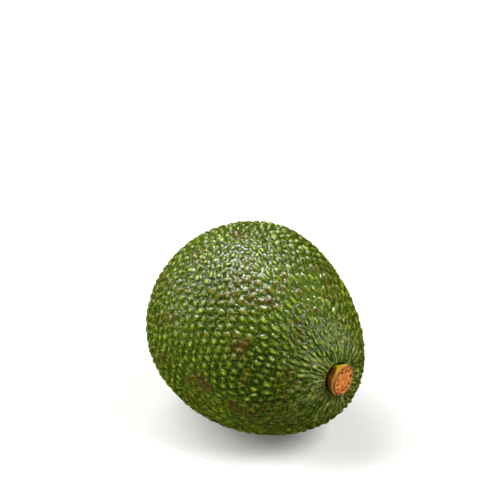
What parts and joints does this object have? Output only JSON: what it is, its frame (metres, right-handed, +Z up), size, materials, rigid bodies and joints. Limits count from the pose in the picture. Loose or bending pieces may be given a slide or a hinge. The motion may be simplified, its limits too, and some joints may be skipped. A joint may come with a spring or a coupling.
{
  "type": "avocado",
  "caption": "Whole avocado with dark green pebbled skin, lying on its side, with a short cut stem button in a shallow hollow.",
  "frame": {"origin": "on the resting surface, under the middle of the fruit's outline", "axes": "+Z up from the resting surface, +X along the fruit's length towards the stem end"},
  "size_m": [0.081, 0.069, 0.0684],
  "materials": {
    "skin": "waxy, pebbled green skin with a soft gloss",
    "stem": "dry cut stem, orange brown face and olive yellow side"
  },
  "bodies": {
    "root": {"fruit": "skin", "stem_button": "stem"}
  },
  "joints": []
}
